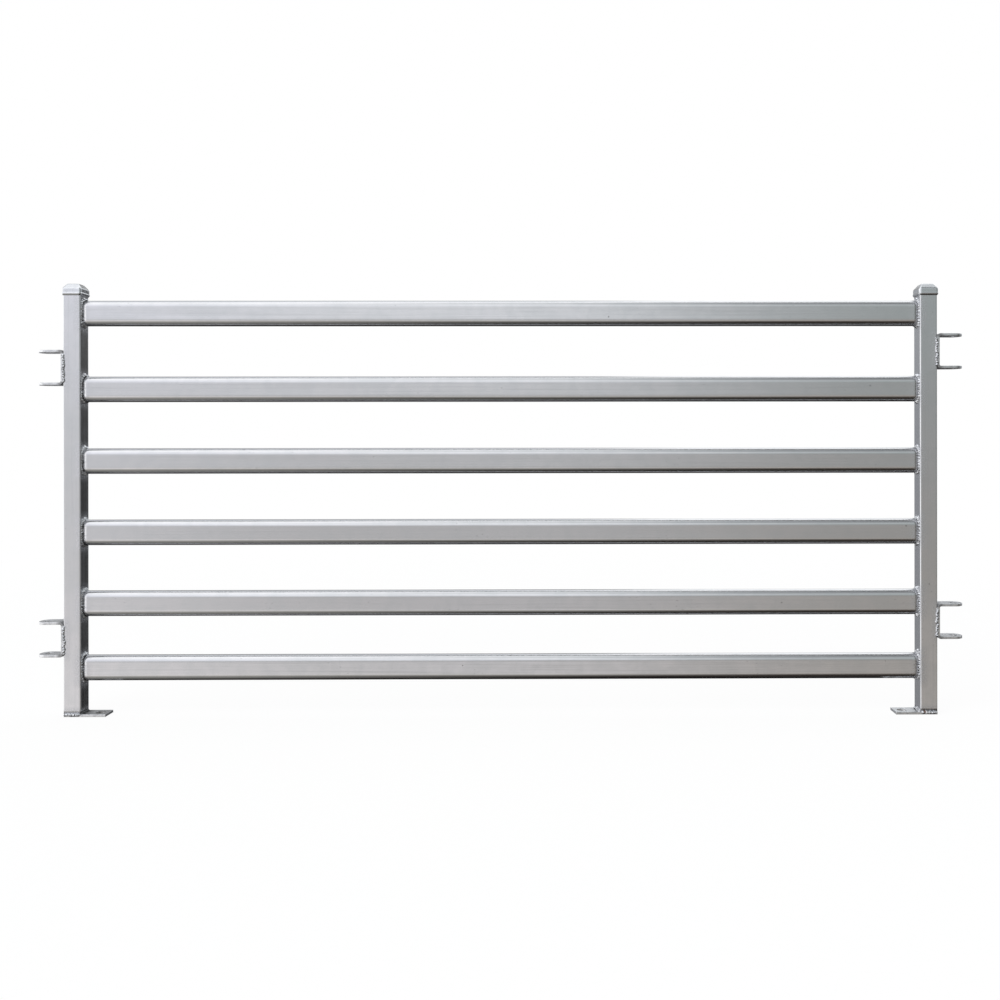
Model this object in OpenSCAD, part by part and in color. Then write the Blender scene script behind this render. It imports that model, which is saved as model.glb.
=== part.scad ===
// Yard panel for sheep: two square posts, six flat-sided oval rails, and U lugs for pins to the next panel.
// X runs along the panel, -Y is its front and Z is up. The origin is on the ground, midway between the posts.

/* [Overall] */
// Length over the two posts, without the lugs
panel_l = 2030; // [1500:10:3000]
// Height from the ground to the top of the caps
panel_h = 1005; // [850:5:1400]

/* [Posts] */
// Outside width of the square post tube
post_w = 40; // [34:1:60]
// Wall of the post tube
post_wall = 2; // [1.6:0.2:4]
// Outside corner radius of the post tube
post_r = 2.5; // [2.5:0.5:5]

/* [Rails] */
// Height of the oval rail tube
rail_h = 60; // [50:1:75]
// Depth of the oval rail tube, front to back
rail_d = 30; // [20:1:36]
// Wall of the rail tube
rail_wall = 1.6; // [1.2:0.2:3]
// From the top of the caps down to the highest rail
rail_drop = 38; // [30:1:60]
// Clear gap between the ground and the lowest rail, while the panel keeps its listed height
gap_ground = 80.5; // [60:0.5:150]
// Clear gap above the lowest rail
gap_1 = 90; // [60:0.5:150]
// Clear gap above the second rail from the ground
gap_2 = 105.5; // [60:0.5:150]
// Clear gap above the third rail from the ground
gap_3 = 106.5; // [60:0.5:150]
// Clear gap above the fourth rail from the ground
gap_4 = 107.5; // [60:0.5:150]
// Clear gap above the fifth rail from the ground
gap_5 = 117; // [60:0.5:150]

/* [Caps] */
// Sheet that the caps are pressed from
cap_wall = 2; // [1:0.2:3]
// Clearance between a cap's skirt and its post, on each side
cap_clear = 0.4; // [0.2:0.1:1]
// Height of the upright skirt
cap_skirt = 16.5; // [10:0.5:30]
// Rise of the four sloping sides
cap_rise = 11.5; // [6:0.5:16]
// How far each sloping side leans in
cap_lean = 9.5; // [6:0.5:13]
// Height of the rolled lip along the skirt's lower edge
cap_lip_h = 5; // [2:0.5:8]
// How far the lip stands out from the skirt
cap_lip_out = 0.9; // [0.4:0.1:2]

/* [Pin lugs] */
// Width of the flat bar
lug_w = 40; // [34:1:60]
// Thickness of the flat bar
lug_t = 6; // [4:0.5:8]
// Height over both ears
lug_h = 82; // [65:1:120]
// Radius inside the bends
lug_bend_r = 3; // [2:0.5:6]
// Diameter of the pin hole through both ears
pin_d = 18; // [12:0.5:22]
// From the post's outer face to the middle of the pin hole
pin_reach = 44; // [34:1:60]
// From the top of the caps down to the middle of the upper lug, on the right post
lug_upper_drop = 157.5; // [140:0.5:240]
// From the ground up to the middle of the lower lug, on the right post
lug_lower_rise = 216.5; // [150:0.5:300]
// How much lower the left post's lugs sit, so that neighbouring panels' ears interleave
lug_stagger = 37.5; // [20:0.5:60]

/* [Foot plates] */
// Width of the flat bar
foot_w = 40; // [34:1:60]
// Thickness of the flat bar
foot_t = 6; // [4:0.5:10]
// Length, from the post's outer face inwards
foot_l = 97; // [90:1:140]
// Diameter of the ground pin's hole
foot_hole_d = 21; // [14:0.5:26]
// From the plate's inner end to the middle of the hole
foot_hole_in = 20; // [16:0.5:24]

/* [Weld beads] */
// How far the bead round each rail's end runs along the rail
rail_bead_run = 6; // [2:0.5:8]
// How far that bead spreads over the post's face
rail_bead_rise = 4.5; // [2:0.5:6]
// Radius of the upright beads beside each lug's web
lug_bead = 3.5; // [2:0.5:6]
// Size of the beads between post and foot plate
foot_bead = 2.5; // [1.5:0.5:4]

/* [Hidden] */
$fn = 64;
cut = 1; // how far a cutting shape runs past what it cuts
rim = 0.5; // flat left between a bead and the post's edge, and the least radius inside a tube's corner
sides = ["left", "right"];
levels = ["upper", "lower"];
gaps = [gap_ground, gap_1, gap_2, gap_3, gap_4, gap_5]; // from the ground up
rail_count = len(gaps);
post_face = panel_l / 2; // outer face of a post
post_in = post_face - post_w; // inner face of a post
post_mid = post_face - post_w / 2;
rail_len = 2 * post_in;
rail_r = rail_d / 2; // the oval's round edges are half circles
rail_flat = rail_h - rail_d;
// The gaps keep their proportions and share out the height that the rails leave
gap_scale = (panel_h - rail_drop - rail_count * rail_h) / total(gaps, rail_count);
bead_rise = min(rail_bead_rise, post_w / 2 - rail_r - rim); // it stays on the post
cap_half = post_w / 2 + cap_clear + cap_wall; // outside of the skirt
cap_hole = post_w / 2 + cap_clear; // inside of the skirt
cap_slant = norm([cap_lean, cap_rise]);
// The sloping sides' inner face: the outer one moved in by the sheet's thickness
slope_foot = cap_half - cap_wall * cap_rise / cap_slant;
slope_low = panel_h - cap_rise - cap_wall * cap_lean / cap_slant;
post_top = slope_height(post_w / 2); // the post's top edge bears on the sloping sides
lug_bend_out = lug_bend_r + lug_t;
ear_r = lug_w / 2; // an ear's end is round about the pin hole
foot_end = post_face - foot_l;
foot_fillet = 2 * foot_bead; // leg of the bead inside the post, across the plate

// Sum of a list's first few values
function total(list, few) = few == 0 ? 0 : list[few - 1] + total(list, few - 1);

// Height of rail i's middle, where rail 1 is the highest
function rail_z(i) =
    let (below = rail_count - i)
    gap_scale * total(gaps, below + 1) + rail_h * (below + 0.5);

function lug_z(side, level) =
    (level == "upper" ? panel_h - lug_upper_drop : lug_lower_rise) - (side == "left" ? lug_stagger : 0);

// Height of the cap's inner sloping face at a distance out from the post's middle, and the reverse
function slope_height(out) = slope_low + (slope_foot - out) * cap_rise / cap_lean;
function slope_out(height) = slope_foot - (height - slope_low) * cap_lean / cap_rise;

// Everything is drawn on the right post, and turned half round for the left one
module at_side(side) {
    rotate([0, 0, side == "left" ? 180 : 0]) children();
}

// A square with rounded corners, w wide
module rounded_square(w, r) {
    square([w, w - 2 * r], center = true);
    square([w - 2 * r, w], center = true);
    for (x = [-1, 1], y = [-1, 1]) translate([x, y] * (w / 2 - r)) circle(r);
}

// A slot's outline: two half circles joined by flats, h long and d across
module oval(h, d) {
    square([h - d, d], center = true);
    for (x = [-1, 1]) translate([x * (h - d) / 2, 0]) circle(d / 2);
}

// The space that a post fills, walls and hollow together
module post_space() {
    translate([post_mid, 0, 0]) linear_extrude(panel_h) rounded_square(post_w, post_r);
}

module post(side) {
    color("silver") at_side(side) translate([post_mid, 0, foot_t]) linear_extrude(post_top - foot_t)
        difference() {
            rounded_square(post_w, post_r);
            rounded_square(post_w - 2 * post_wall, max(post_r - post_wall, rim));
        }
}

// A square block, upright from low to shoulder, whose four sides then lean in to a flat top
module leaning_block(half, r, low, shoulder, top, top_half) {
    outline = [
        [-half, low], [half, low], [half, shoulder], [top_half, top], [-top_half, top], [-half, shoulder]
    ];
    intersection() {
        translate([0, 0, low]) linear_extrude(top - low) rounded_square(2 * half, r);
        intersection_for(turn = [0, 90])
            rotate([90, 0, turn]) linear_extrude(2 * half, center = true) polygon(outline);
    }
}

module cap(side) {
    low = panel_h - cap_rise - cap_skirt;
    inner_top = panel_h - cap_wall;
    color("gainsboro") at_side(side) translate([post_mid, 0, 0]) difference() {
        union() {
            leaning_block(cap_half, post_r + cap_clear + cap_wall, low, panel_h - cap_rise,
                panel_h, cap_half - cap_lean);
            translate([0, 0, low]) linear_extrude(cap_lip_h)
                rounded_square(2 * (cap_half + cap_lip_out), post_r + cap_clear + cap_wall + cap_lip_out);
        }
        leaning_block(cap_hole, post_r + cap_clear, low - cut, slope_height(cap_hole),
            inner_top, slope_out(inner_top));
    }
}

module rail(i) {
    color("lightgray") translate([0, 0, rail_z(i)]) rotate([0, 90, 0]) linear_extrude(rail_len, center = true)
        difference() {
            oval(rail_h, rail_d);
            oval(rail_h - 2 * rail_wall, rail_d - 2 * rail_wall);
        }
}

// A long rectangle whose two corners at x = 0 are rounded
module bent_end(l, h, r) {
    translate([r, -h / 2]) square([l - r, h]);
    translate([0, r - h / 2]) square([r, h - 2 * r]);
    for (y = [-1, 1]) translate([r, y * (h / 2 - r)]) circle(r);
}

module lug(side, level) {
    reach = pin_reach + ear_r;
    color("silver") at_side(side) translate([post_face, 0, lug_z(side, level)]) difference() {
        intersection() {
            rotate([90, 0, 0]) linear_extrude(lug_w, center = true) difference() {
                bent_end(reach, lug_h, lug_bend_out);
                translate([lug_t, 0]) bent_end(reach, lug_h - 2 * lug_t, lug_bend_r);
            }
            linear_extrude(lug_h, center = true) {
                translate([0, -ear_r]) square([pin_reach, lug_w]);
                translate([pin_reach, 0]) circle(ear_r);
            }
        }
        translate([pin_reach, 0, 0]) cylinder(h = lug_h + 2 * cut, d = pin_d, center = true);
    }
}

module foot(side) {
    color("darkgray") at_side(side) difference() {
        translate([foot_end, -foot_w / 2, 0]) cube([foot_l, foot_w, foot_t]);
        translate([foot_end + foot_hole_in, 0, -cut]) cylinder(h = foot_t + 2 * cut, d = foot_hole_d);
    }
}

// Section of a rail's bead: across is out from the middle of the oval's round edge, up is along the rail.
// It starts behind the post's face, so that it fills in over the post's rounded corners.
module rail_bead_section() {
    polygon([
        [rail_r, -post_r], [rail_r + bead_rise, -post_r], [rail_r + bead_rise, 0], [rail_r, rail_bead_run]
    ]);
}

// Half of the ring round an oval: a half turn at one end and one straight side
module half_ring() {
    translate([rail_flat / 2, 0, 0]) rotate([0, 0, -90]) rotate_extrude(angle = 180) rail_bead_section();
    rotate([90, 0, 90]) linear_extrude(rail_flat, center = true) rail_bead_section();
}

module weld_rail(i, side) {
    color("white") at_side(side) difference() {
        translate([post_in, 0, rail_z(i)]) rotate([0, -90, 0])
            for (turn = [0, 180]) rotate([0, 0, turn]) half_ring();
        post_space();
    }
}

// Two upright beads, in the grooves between the lug's web and the post's rounded corners
module weld_lug(side, level) {
    web_h = lug_h - 2 * lug_bend_out;
    edge = min(post_w, lug_w) / 2;
    color("white") at_side(side) difference() {
        for (y = [-1, 1]) translate([post_face, y * edge, lug_z(side, level)])
            cylinder(h = web_h, r = lug_bead, center = true);
        post_space();
        translate([post_face, -ear_r, 0]) cube([lug_t, lug_w, panel_h]);
    }
}

// A bead along the joint in front and behind, and a fillet across the plate inside the post
module weld_foot(side) {
    run = post_w - 2 * post_r;
    edge = min(post_w, foot_w) / 2;
    color("white") at_side(side) difference() {
        union() {
            for (y = [-1, 1]) translate([post_mid, y * edge, foot_t]) rotate([0, 90, 0])
                cylinder(h = run, r = foot_bead, center = true);
            translate([post_in, 0, foot_t]) rotate([90, 0, 0]) linear_extrude(run, center = true)
                polygon([[0, 0], [0, foot_fillet], [-foot_fillet, 0]]);
        }
        post_space();
        translate([foot_end, -foot_w / 2, 0]) cube([foot_l, foot_w, foot_t]);
    }
}

for (s = sides) post(s);
for (s = sides) cap(s);
for (i = [1 : rail_count]) rail(i);
for (s = sides, l = levels) lug(s, l);
for (s = sides) foot(s);
for (i = [1 : rail_count], s = sides)
    weld_rail(i, s);
for (s = sides, l = levels) weld_lug(s, l);
for (s = sides) weld_foot(s);
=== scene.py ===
import math

import bpy
import numpy as np
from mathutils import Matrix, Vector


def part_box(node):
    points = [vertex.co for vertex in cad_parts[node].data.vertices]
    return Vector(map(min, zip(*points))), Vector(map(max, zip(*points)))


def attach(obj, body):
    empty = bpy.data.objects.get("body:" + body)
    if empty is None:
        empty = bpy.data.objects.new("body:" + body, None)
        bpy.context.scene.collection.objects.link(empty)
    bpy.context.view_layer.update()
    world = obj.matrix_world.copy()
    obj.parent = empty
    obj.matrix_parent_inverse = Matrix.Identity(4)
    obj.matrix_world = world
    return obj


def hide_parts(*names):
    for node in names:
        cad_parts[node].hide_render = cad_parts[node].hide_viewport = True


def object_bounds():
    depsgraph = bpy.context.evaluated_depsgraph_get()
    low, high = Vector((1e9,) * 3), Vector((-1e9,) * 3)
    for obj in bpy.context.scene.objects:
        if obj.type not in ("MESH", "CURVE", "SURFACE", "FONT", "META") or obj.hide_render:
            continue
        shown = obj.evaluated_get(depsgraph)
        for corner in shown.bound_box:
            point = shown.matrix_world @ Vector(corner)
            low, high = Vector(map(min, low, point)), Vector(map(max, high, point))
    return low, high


# Galvanised sheep-yard panel, in the CAD frame's metres: X along the panel, -Y its front, Z up.
# Shapes are worked out in millimetres on the right post and turned half round for the left one.

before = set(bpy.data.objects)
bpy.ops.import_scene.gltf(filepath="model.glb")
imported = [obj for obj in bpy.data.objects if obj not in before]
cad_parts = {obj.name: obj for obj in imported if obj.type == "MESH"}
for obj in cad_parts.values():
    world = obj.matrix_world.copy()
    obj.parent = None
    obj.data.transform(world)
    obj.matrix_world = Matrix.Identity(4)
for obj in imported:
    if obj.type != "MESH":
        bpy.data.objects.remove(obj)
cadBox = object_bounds()
mm = 0.001
sides = ("left", "right")
levels = ("upper", "lower")
railCount = 6
hair = 0.05  # millimetres that a shape is kept inside a limit
almostTurn = 6.28  # a random wave starts anywhere in one turn, in radians


def boxMm(node):  # a CAD node's lowest and highest corner, in millimetres
    low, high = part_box(node)
    return np.array(low) / mm, np.array(high) / mm


postLow, postHigh = boxMm("post_right")
capLow, capHigh = boxMm("cap_right")
footLow, footHigh = boxMm("foot_right")
postIn, postFace = postLow[0], postHigh[0]
postHalf = (postFace - postIn) / 2
postMid = (postFace + postIn) / 2
railBoxes = [boxMm(f"rail_{i}") for i in range(1, railCount + 1)]
railMids = [(low[2] + high[2]) / 2 for low, high in railBoxes]
railDepth = railBoxes[0][1][1] - railBoxes[0][0][1]
railHeight = railBoxes[0][1][2] - railBoxes[0][0][2]


def lugMid(side, level):
    low, high = boxMm(f"lug_{side}_{level}")
    return (low[2] + high[2]) / 2


# ---- numbers that vary, and soft steps

def softStep(x, start, end):  # 0 before start, 1 after end, with a smooth S between
    t = np.clip((x - start) / (end - start), 0, 1)
    return t * t * (3 - 2 * t)


def drift(s, period, seed, waves=6):
    # a closed random curve: sines that fit the period 1, 2, 3... times, each weaker than the one before
    draw = np.random.default_rng(seed)
    total = np.zeros_like(s, float)
    for k in range(1, waves + 1):
        weight = math.pow(k, -0.7) * draw.normal()
        total += weight * np.sin(2 * math.pi * k * s / period + draw.uniform(0, almostTurn))
    return total / 1.6


# ---- surfaces

def gridQuads(rows, columns, wrapRows, wrapColumns):
    # faces of a grid numbered row by row, joined back to the start where it wraps
    r = np.arange(rows if wrapRows else rows - 1)[:, None]
    c = np.arange(columns if wrapColumns else columns - 1)[None, :]
    near, far, after = r * columns, (r + 1) % rows * columns, (c + 1) % columns
    return np.stack([near + c, near + after, far + after, far + c], -1).reshape(-1, 4)


def fan(ring, pole):  # triangles from a ring of corners to one point
    return np.stack([ring, np.roll(ring, -1), np.full_like(ring, pole)], -1)


def volumeOf(points, faces):  # the sum of the pyramids from the origin to each face: below 0 if inside out
    total = 0.0
    for k in range(1, faces.shape[1] - 1):
        a, b, c = points[faces[:, 0]], points[faces[:, k]], points[faces[:, k + 1]]
        total += np.einsum("ij,ij->i", a, np.cross(b, c)).sum()
    return total


def putMesh(name, points, quads, triangles, material, attributes=()):
    # faces are turned outwards if the mesh is inside out; triangles may be empty
    points = np.asarray(points, float).reshape(-1, 3)
    triangles = np.asarray(triangles, int).reshape(-1, 3)
    fromMiddle = points - points.mean(0)
    if volumeOf(fromMiddle, quads) + volumeOf(fromMiddle, triangles) < 0:
        quads, triangles = quads[:, ::-1], triangles[:, ::-1]
    corners = np.concatenate([quads.ravel(), triangles.ravel()]).astype(np.int32)
    starts = np.concatenate([np.arange(len(quads)) * 4, len(quads) * 4 + np.arange(len(triangles)) * 3])
    mesh = bpy.data.meshes.new(name)
    mesh.vertices.add(len(points))
    mesh.vertices.foreach_set("co", (points * mm).astype(np.float32).ravel())
    mesh.loops.add(len(corners))
    mesh.loops.foreach_set("vertex_index", corners)
    mesh.polygons.add(len(starts))
    mesh.polygons.foreach_set("loop_start", starts.astype(np.int32))
    mesh.update(calc_edges=True)
    mesh.polygons.foreach_set("use_smooth", np.ones(len(starts), bool))
    for label, values in attributes:
        layer = mesh.attributes.new(label, "FLOAT", "POINT")
        layer.data.foreach_set("value", np.asarray(values, np.float32).ravel())
    mesh.materials.append(material)
    mesh.validate()
    piece = bpy.data.objects.new(name, mesh)
    bpy.context.scene.collection.objects.link(piece)
    return piece


def finishPiece(piece, slotName, *nodes):
    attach(piece, "root")
    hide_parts(*nodes)


def turned(points, side):  # the left post's parts are the right post's, turned half round the upright axis
    return points * np.array([-1, -1, 1]) if side == "left" else points


def skinTube(rings):
    # a hollow tube: rings go along its outside and back through its inside, and close on themselves both ways
    rows, columns = rings.shape[:2]
    return rings.reshape(-1, 3), gridQuads(rows, columns, True, True)


def skinShell(rings):
    # a closed shell: rings go from one pole to the other, and a fan closes it at each
    rows, columns = rings.shape[:2]
    count, first = rows * columns, np.arange(columns)
    points = np.concatenate([rings.reshape(-1, 3), [rings[0].mean(0)], [rings[-1].mean(0)]])
    triangles = np.concatenate([fan(first[::-1], count), fan(first + count - columns, count + 1)])
    return points, gridQuads(rows, columns, False, True), triangles


def quarterTurns(loop, quarters):
    for _ in range(quarters):
        loop = np.stack([-loop[:, 1], loop[:, 0]], -1)
    return loop


def squareLoop(half, radius, arcPoints, sidePoints):
    # a rounded square: one quarter is a corner's arc and then the straight side after it, turned four times
    arc = np.linspace(0, math.pi / 2, arcPoints)
    corner = (half - radius) + radius * np.stack([np.cos(arc), np.sin(arc)], -1)
    along = np.linspace(half - radius, radius - half, sidePoints + 2)[1:-1]
    quarter = np.concatenate([corner, np.stack([along, np.full_like(along, half)], -1)])
    return np.concatenate([quarterTurns(quarter, k) for k in range(4)])


def ovalLoop(height, depth, arcPoints, sidePoints):
    # a flat-sided oval: a half circle over the top and a straight side, then both turned half round
    radius, flat = depth / 2, height - depth
    arc = np.linspace(0, math.pi, arcPoints)
    cap = np.stack([radius * np.cos(arc), flat / 2 + radius * np.sin(arc)], -1)
    along = np.linspace(flat / 2, -flat / 2, sidePoints + 2)[1:-1]
    half = np.concatenate([cap, np.stack([np.full_like(along, -radius), along], -1)])
    return np.concatenate([half, -half])


# ---- materials: every pattern's size is in millimetres, read from the place on the object itself

def linear(code):  # an sRGB hex colour as the linear values that Blender works in
    parts = [int(code[k:k + 2], 16) / 255 for k in (1, 3, 5)]
    return tuple(c / 12.92 if c <= 0.04045 else ((c + 0.055) / 1.055) ** 2.4 for c in parts) + (1.0,)


def addNode(tree, kind, settings=None, links=None):
    # a node with its properties or unlinked sockets set, and its sockets linked
    node = tree.nodes.new("ShaderNode" + kind)
    for key, value in (settings or {}).items():
        if isinstance(key, str) and hasattr(node, key):
            setattr(node, key, value)
        else:
            node.inputs[key].default_value = value
    for key, source in (links or {}).items():
        tree.links.new(source, node.inputs[key])
    return node


softly = {"interpolation_type": "SMOOTHSTEP"}  # Map Range: from socket 1 to 2, it gives 3 to 4 with a soft S
colours = {"data_type": "RGBA"}  # Mix: socket 6 where the share in 0 is nothing, 7 where it is all
times = {"operation": "MULTIPLY"}
timesPlus = {"operation": "MULTIPLY_ADD"}


def startMaterial(name):
    material = bpy.data.materials.new(name)
    material.use_nodes = True
    tree = material.node_tree
    tree.nodes.clear()
    return material, tree


def finishMetal(tree, colour, rough, bumps):
    # bumps are (height, strength, depth in millimetres), each standing on the one before it
    normal = {}
    for height, strength, depth in bumps:
        bump = addNode(tree, "Bump", {"Strength": strength, "Distance": depth * mm},
                       normal | {"Height": height})
        normal = {"Normal": bump.outputs[0]}
    shader = addNode(tree, "BsdfPrincipled", {"Metallic": 1.0},
                     normal | {"Base Color": colour, "Roughness": rough})
    addNode(tree, "OutputMaterial", {}, {"Surface": shader.outputs[0]})


# Continuously galvanised tube: strip that was zinc-coated, then roll-formed and drawn through the mill.
# The eye sees a soft satin mirror with faint lines along the tube, cloudy zinc, a few dark specks, patches
# of fine nicks, and dull grey zinc spray that was blown over the welds.
tubeLook = {
    "zinc": "#d2d2d4", "cloud": "#cdced0", "dull": "#b2b3b5", "nick": "#86868a", "speck": "#4a4744",
    "spray": "#c4c5c9", "roughness": 0.19, "cloudRough": (-0.01, 0.02), "lineRough": (-0.02, 0.04),
    "sprayRough": 0.12, "lineWidth": 5.0, "lineLength": 420.0, "lineDepth": 0.03, "lineShare": 0.3,
    "cloudSize": 38.0, "grainSize": 1.6, "grainDepth": 0.03, "speckApart": 48.0, "speckSize": 1.6,
    "speckShare": 1.0, "nickApart": 9.0, "nickSize": 1.1, "nickShare": 0.85, "nickPatch": 70.0,
    "nickPatchEdge": (0.60, 0.66), "sprayGrain": 3.2, "sprayDepth": 0.4,
}


def galvanisedTube(name, alongAxis):
    look = tubeLook
    material, tree = startMaterial(name)
    place = addNode(tree, "TexCoord").outputs["Object"]
    wide, long = 1 / (look["lineWidth"] * mm), 1 / (look["lineLength"] * mm)
    stretch = (long, wide, wide) if alongAxis == "X" else (wide, wide, long)
    linePlace = addNode(tree, "Mapping", {"Scale": stretch}, {"Vector": place}).outputs[0]
    lines = addNode(tree, "TexNoise", {"Scale": 1.0, "Detail": 3.0, "Roughness": 0.6},
                    {"Vector": linePlace}).outputs[0]
    clouds = addNode(tree, "TexNoise", {
        "Scale": 1 / (look["cloudSize"] * mm), "Detail": 4.0, "Roughness": 0.55, "Distortion": 0.4},
        {"Vector": place}).outputs[0]
    grain = addNode(tree, "TexNoise", {"Scale": 1 / (look["grainSize"] * mm), "Detail": 2.0},
                    {"Vector": place}).outputs[0]
    spots = {}
    for mark in ("speck", "nick"):  # each is the middle of a cell, and fades out at its own radius
        cells = addNode(tree, "TexVoronoi", {"Scale": 1 / (look[mark + "Apart"] * mm)},
                        {"Vector": place}).outputs["Distance"]
        radius = look[mark + "Size"] / look[mark + "Apart"]
        spots[mark] = addNode(tree, "MapRange", softly | {
            1: radius / 2, 2: radius, 3: look[mark + "Share"], 4: 0.0}, {0: cells}).outputs[0]
    patches = addNode(tree, "TexNoise", {"Scale": 1 / (look["nickPatch"] * mm), "Detail": 1.0},
                      {"Vector": place}).outputs[0]
    crowded = addNode(tree, "MapRange", softly | dict(zip((1, 2), look["nickPatchEdge"])),
                      {0: patches}).outputs[0]
    nicks = addNode(tree, "Math", times, {0: spots["nick"], 1: crowded}).outputs[0]
    spray = addNode(tree, "Attribute", {"attribute_name": "spray"}).outputs["Fac"]
    sprayGrain = addNode(tree, "TexNoise", {
        "Scale": 1 / (look["sprayGrain"] * mm), "Detail": 3.0, "Roughness": 0.7},
        {"Vector": place}).outputs[0]
    patchy = addNode(tree, "MapRange", softly | {1: 0.38, 2: 0.62, 3: 0.25},
                     {0: sprayGrain}).outputs[0]
    sprayed = addNode(tree, "Math", times, {0: spray, 1: patchy}).outputs[0]
    cloudy = addNode(tree, "MapRange", softly | {1: 0.35, 2: 0.7}, {0: clouds}).outputs[0]
    lined = addNode(tree, "MapRange", softly | {1: 0.45, 2: 0.8, 4: look["lineShare"]},
                    {0: lines}).outputs[0]
    colour = addNode(tree, "Mix", colours | {6: linear(look["zinc"]), 7: linear(look["cloud"])},
                     {0: cloudy}).outputs[2]
    for share, tone in ((lined, "dull"), (nicks, "nick"), (spots["speck"], "speck"), (sprayed, "spray")):
        colour = addNode(tree, "Mix", colours | {7: linear(look[tone])},
                         {0: share, 6: colour}).outputs[2]
    low, high = look["cloudRough"]
    rough = addNode(tree, "MapRange", softly | {
        1: 0.3, 2: 0.75, 3: look["roughness"] + low, 4: look["roughness"] + high}, {0: clouds}).outputs[0]
    low, high = look["lineRough"]
    lineRough = addNode(tree, "MapRange", softly | {1: 0.3, 2: 0.8, 3: low, 4: high},
                        {0: lines}).outputs[0]
    rough = addNode(tree, "Math", {"operation": "ADD"}, {0: rough, 1: lineRough}).outputs[0]
    rough = addNode(tree, "Math", timesPlus | {1: look["sprayRough"]},
                    {0: sprayed, 2: rough}).outputs[0]
    sprayHeight = addNode(tree, "Math", times, {0: sprayGrain, 1: spray}).outputs[0]
    finishMetal(tree, colour, rough, ((lines, 0.25, look["lineDepth"]), (grain, 0.3, look["grainDepth"]),
                                      (sprayHeight, 1.0, look["sprayDepth"])))
    return material


# A mark lies where the mesh's attribute of that name says. It has a tone, the four numbers of the Map Range
# through which the clouds break it up (or None), and the roughness that it adds.
# Pressed zinc-plated sheet: brighter and smoother than the tube, with soft cloudy patches.
capSheetLook = {"zinc": "#d3d5d8", "cloud": "#cacccf", "roughness": 0.22, "cloudSize": 9.0, "grainSize": 1.2,
                "grainDepth": 0.02, "marks": {}}
# Flat bar, bent and punched, then zinc-coated: a little rougher and cloudy, smoky where it was welded. Its
# dark mark is that soot and also painted shade, in the bends' hollows against the post and on the feet next
# to the post.
barLook = {"zinc": "#dcdddf", "cloud": "#bfc1c4", "roughness": 0.33, "cloudSize": 7.0, "grainSize": 1.4,
           "grainDepth": 0.12, "marks": {"sootAndShade": ("#34302c", (0.25, 0.7, 1.0, 0.75), 0.2)}}
# Weld metal with zinc spray over it: bright lumps with dark crevices where slag and soot stay. That dark mark
# is also painted shade, in the grooves, on the left welds' toes and fillet, and where the lug beads run into
# the bends.
weldLook = {"zinc": "#e8eaee", "cloud": "#bcbec2", "roughness": 0.27, "cloudSize": 3.0, "grainSize": 0.9,
            "grainDepth": 0.25, "marks": {"slagAndShade": ("#2b2927", None, 0.3),
                                          "rust": ("#7a5138", (0.35, 0.6, 0.3, 1.0), 0.0)}}


def zincCoated(name, look):
    material, tree = startMaterial(name)
    place = addNode(tree, "TexCoord").outputs["Object"]
    clouds = addNode(tree, "TexNoise", {
        "Scale": 1 / (look["cloudSize"] * mm), "Detail": 4.0, "Roughness": 0.6, "Distortion": 0.5},
        {"Vector": place}).outputs[0]
    grain = addNode(tree, "TexNoise", {"Scale": 1 / (look["grainSize"] * mm), "Detail": 3.0},
                    {"Vector": place}).outputs[0]
    cloudy = addNode(tree, "MapRange", softly | {1: 0.35, 2: 0.7}, {0: clouds}).outputs[0]
    colour = addNode(tree, "Mix", colours | {6: linear(look["zinc"]), 7: linear(look["cloud"])},
                     {0: cloudy}).outputs[2]
    rough = addNode(tree, "MapRange", softly | {
        1: 0.3, 2: 0.75, 3: look["roughness"] - 0.06, 4: look["roughness"] + 0.12}, {0: clouds}).outputs[0]
    for mark, (tone, broken, extra) in look["marks"].items():
        share = where = addNode(tree, "Attribute", {"attribute_name": mark}).outputs["Fac"]
        if broken:
            patchy = addNode(tree, "MapRange", softly | dict(zip((1, 2, 3, 4), broken)),
                             {0: clouds}).outputs[0]
            share = addNode(tree, "Math", times, {0: where, 1: patchy}).outputs[0]
        colour = addNode(tree, "Mix", colours | {7: linear(tone)}, {0: share, 6: colour}).outputs[2]
        rough = addNode(tree, "Math", timesPlus | {1: extra}, {0: where, 2: rough}).outputs[0]
    finishMetal(tree, colour, rough, ((clouds, 0.5, look["grainDepth"] * 2),
                                      (grain, 0.6, look["grainDepth"])))
    return material


railTube = galvanisedTube("galvanised_steel_rail_tube", "X")
postTube = galvanisedTube("galvanised_steel_post_tube", "Z")
capSheet = zincCoated("zinc_plated_pressed_sheet", capSheetLook)
flatBar = zincCoated("zinc_coated_bent_flat_bar", barLook)
weldMetal = zincCoated("zinc_sprayed_weld_metal", weldLook)
print("materials made")


# ---- camera first, then what stands round the panel

cameraLook = {"place": (0.138, -2.25, 0.633), "lens": 34.55, "sensor": 36.0, "shiftX": -0.0673,
              "shiftY": -0.0568, "roll": 0.07, "yaw": -0.38}  # the two turns in degrees


def makeCamera():
    data = bpy.data.cameras.new("camera")
    data.lens, data.sensor_width = cameraLook["lens"], cameraLook["sensor"]
    data.shift_x, data.shift_y = cameraLook["shiftX"], cameraLook["shiftY"]
    camera = bpy.data.objects.new("camera", data)
    camera.location = cameraLook["place"]
    camera.rotation_euler = [math.radians(turn) for turn in (90, cameraLook["roll"], cameraLook["yaw"])]
    bpy.context.scene.collection.objects.link(camera)
    bpy.context.scene.camera = camera


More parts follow.
